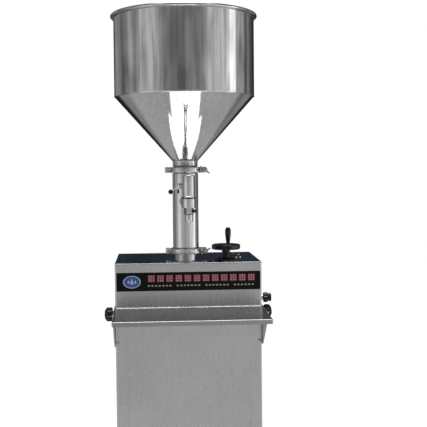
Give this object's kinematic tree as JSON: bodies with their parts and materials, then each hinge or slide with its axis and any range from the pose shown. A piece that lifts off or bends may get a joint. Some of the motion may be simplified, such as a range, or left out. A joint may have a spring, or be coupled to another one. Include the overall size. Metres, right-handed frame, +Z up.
{
  "type": "piston liquid filler",
  "caption": "Floor-standing single-nozzle piston filler: cabinet with mirror top, dosing column under a conical hopper, nozzle on an outlet pipe, height-adjustable tray, stroke handwheel.",
  "frame": {"origin": "on the floor under the centre of the overall box", "axes": "+Z up, -Y towards the operator, +X to the operator's right"},
  "size_m": [0.472, 0.612, 1.5922],
  "materials": {
    "polished": "polished stainless",
    "brushed": "brushed stainless",
    "steel": "machined steel",
    "aluminium": "anodised",
    "black_plastic": "moulded, satin",
    "rubber": "moulded",
    "white_plastic": "turned",
    "label_black": "printed film",
    "brass": "turned"
  },
  "bodies": {
    "cabinet": {"hopper": "polished", "dosing_cylinder": "polished", "column_base": "polished", "clamp_front_halves": "polished", "clamp_rear_halves": "polished", "top_plate": "polished", "outlet_tube": "polished", "outlet_union_nut": "polished", "nozzle_body": "polished", "nozzle_air_cylinder": "polished", "spout_nut": "polished", "spout": "polished", "cock_body": "polished", "cabinet_shell": "brushed", "front_panel": "brushed", "rear_cover": "brushed", "base_plate": "brushed", "levelling_feet": "steel", "cover_screws": "steel", "clamp_pins": "steel", "inlet_valve_seat": "steel", "inlet_valve_spring": "steel", "tie_rods": "steel", "nozzle_spring": "steel", "guide_rod": "steel", "drive_barrel": "aluminium", "cylinder_caps": "aluminium", "throttle_valve": "aluminium", "control_valve": "aluminium", "nozzle_air_fittings": "aluminium", "spout_lock_screw": "black_plastic", "screw_bearing": "black_plastic", "nozzle_seals": "rubber", "rod_bush": "white_plastic", "clamp_gaskets": "white_plastic", "label_plate": "label_black", "air_inlet": "brass"},
    "piston": {"piston_head": "steel", "piston_seals": "rubber", "piston_rod": "steel", "drive_piston": "aluminium"},
    "inlet_valve": {"inlet_valve_disc": "steel", "inlet_valve_nut": "steel"},
    "nozzle_needle": {"nozzle_plunger": "steel"},
    "stroke_wheel": {"handwheel": "black_plastic", "adjusting_screw": "steel"},
    "crank_handle": {"wheel_handle": "black_plastic"},
    "sensor_slide": {"sensor_carriage": "aluminium"},
    "tray_unit": {"tray": "polished", "tray_arms": "polished", "slot_nuts": "steel"},
    "left_knob": {"left_star_knob": "black_plastic"},
    "right_knob": {"right_star_knob": "black_plastic"},
    "throttle": {"throttle_knob": "black_plastic"},
    "bleed_lever": {"cock_lever": "polished", "cock_ball": "black_plastic"},
    "lower_bolt": {"lower_swing_bolt": "steel"},
    "lower_nut": {"lower_wing_nut": "steel"},
    "upper_bolt": {"upper_swing_bolt": "steel"},
    "upper_nut": {"upper_wing_nut": "steel"}
  },
  "joints": [
    {"name": "piston_stroke", "type": "slide", "parent": "cabinet", "child": "piston", "axis": [0, 0, 1], "range_m": [0, 0.08]},
    {"name": "inlet_valve_lift", "type": "slide", "parent": "cabinet", "child": "inlet_valve", "axis": [0, 0, -1], "range_m": [0, 0.008], "stiffness_N_per_m": 500, "springref_m": -0.02, "deforming": ["inlet_valve_spring"]},
    {"name": "needle_lift", "type": "slide", "parent": "cabinet", "child": "nozzle_needle", "axis": [0, 0, 1], "range_m": [0, 0.01], "stiffness_N_per_m": 800, "springref_m": -0.01, "deforming": ["nozzle_spring"]},
    {"name": "wheel_turn", "type": "hinge", "parent": "cabinet", "child": "stroke_wheel", "pos_m": [0.1265, 0.171, 0.902], "axis": [0, 0, 1], "range_deg": [-3160, 3610]},
    {"name": "sensor_travel", "type": "slide", "parent": "cabinet", "child": "sensor_slide", "axis": [0, 0, 1], "range_m": [-0.04, 0.035]},
    {"name": "handle_spin", "type": "hinge", "parent": "stroke_wheel", "child": "crank_handle", "pos_m": [0.1357, 0.2, 0.93], "axis": [0, 0, 1], "continuous": true},
    {"name": "tray_height", "type": "slide", "parent": "cabinet", "child": "tray_unit", "axis": [0, 0, 1], "range_m": [-0.12, 0.005]},
    {"name": "left_knob_turn", "type": "hinge", "parent": "tray_unit", "child": "left_knob", "pos_m": [-0.224, -0.049, 0.735], "axis": [-1, 0, 0], "continuous": true},
    {"name": "right_knob_turn", "type": "hinge", "parent": "tray_unit", "child": "right_knob", "pos_m": [0.224, -0.049, 0.735], "axis": [1, 0, 0], "continuous": true},
    {"name": "throttle_turn", "type": "hinge", "parent": "cabinet", "child": "throttle", "pos_m": [0.22, -0.055, 0.776], "axis": [1, 0, 0], "range_deg": [-900, 900]},
    {"name": "bleed_turn", "type": "hinge", "parent": "cabinet", "child": "bleed_lever", "pos_m": [-0.02113, 0.04569, 1.092], "axis": [-0.4226, -0.9063, 0], "range_deg": [-90, 0]},
    {"name": "lower_bolt_swing", "type": "hinge", "parent": "cabinet", "child": "lower_bolt", "pos_m": [0.057, 0.1, 0.899], "axis": [0, 0, 1], "range_deg": [0, 100]},
    {"name": "lower_nut_spin", "type": "hinge", "parent": "lower_bolt", "child": "lower_nut", "pos_m": [0.057, 0.071, 0.899], "axis": [0, -1, 0], "continuous": true},
    {"name": "upper_bolt_swing", "type": "hinge", "parent": "cabinet", "child": "upper_bolt", "pos_m": [0.057, 0.1, 1.139], "axis": [0, 0, 1], "range_deg": [0, 100]},
    {"name": "upper_nut_spin", "type": "hinge", "parent": "upper_bolt", "child": "upper_nut", "pos_m": [0.057, 0.071, 1.139], "axis": [0, -1, 0], "continuous": true}
  ],
  "couplings": [
    {"joint": "wheel_turn", "follows": "sensor_travel", "rad_per_m": -1570.8}
  ]
}
